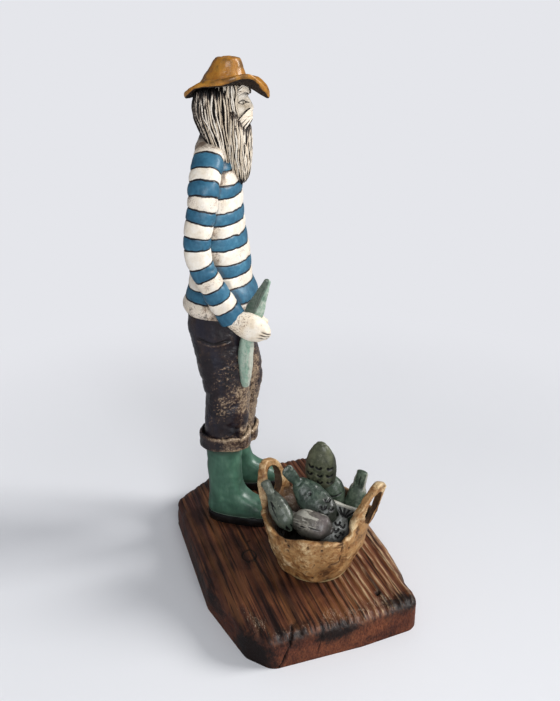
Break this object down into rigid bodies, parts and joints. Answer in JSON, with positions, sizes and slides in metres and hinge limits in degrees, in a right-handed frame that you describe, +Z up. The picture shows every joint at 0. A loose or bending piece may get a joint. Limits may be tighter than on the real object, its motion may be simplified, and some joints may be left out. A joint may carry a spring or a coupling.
{
  "type": "fisherman figurine",
  "caption": "Glazed ceramic figurine of a bearded fisherman in boots and striped shirt, holding a fish, with a basket of fish beside it on a weathered wooden plank.",
  "frame": {"origin": "middle of the plank's underside", "axes": "+Z up, +Y along the plank from the basket to the figure, +X across the plank to the side the figure faces"},
  "size_m": [0.11, 0.16, 0.288],
  "materials": {
    "board_wood": "stained, weathered, open grain",
    "fixing_steel": "plain",
    "glue": "dull",
    "sole_glaze": "satin",
    "boot_glaze": "glossy",
    "cuff_glaze": "satin, rubbed",
    "trouser_glaze": "satin, pitted",
    "shirt_glaze": "satin, striped",
    "skin_clay": "matt",
    "hair_clay": "matt, dark in the grooves",
    "hat_glaze": "satin",
    "held_fish_glaze": "satin",
    "basket_clay": "matt, rough",
    "fish_glaze": "satin, incised"
  },
  "bodies": {
    "root": {"base_board": "board_wood", "right_leg_stud": "fixing_steel", "left_leg_stud": "fixing_steel", "stud_washers": "fixing_steel", "stud_nuts": "fixing_steel", "basket_glue_bed": "glue", "right_sole": "sole_glaze", "left_sole": "sole_glaze", "right_boot": "boot_glaze", "left_boot": "boot_glaze", "right_cuff": "cuff_glaze", "left_cuff": "cuff_glaze", "right_trouser_leg": "trouser_glaze", "left_trouser_leg": "trouser_glaze", "shirt_body": "shirt_glaze", "right_sleeve": "shirt_glaze", "left_sleeve": "shirt_glaze", "right_hand": "skin_clay", "left_hand": "skin_clay", "head": "skin_clay", "nose": "skin_clay", "right_eyebrow": "hair_clay", "left_eyebrow": "hair_clay", "moustache": "hair_clay", "beard": "hair_clay", "hair": "hair_clay", "hat": "hat_glaze", "held_fish": "held_fish_glaze", "basket_tub": "basket_clay", "upright_fish": "fish_glaze", "back_fish": "fish_glaze", "tail_up_fish": "fish_glaze", "crossing_fish": "fish_glaze", "left_fish": "fish_glaze", "front_fish": "fish_glaze", "fan_tail_fish": "fish_glaze"}
  },
  "joints": []
}
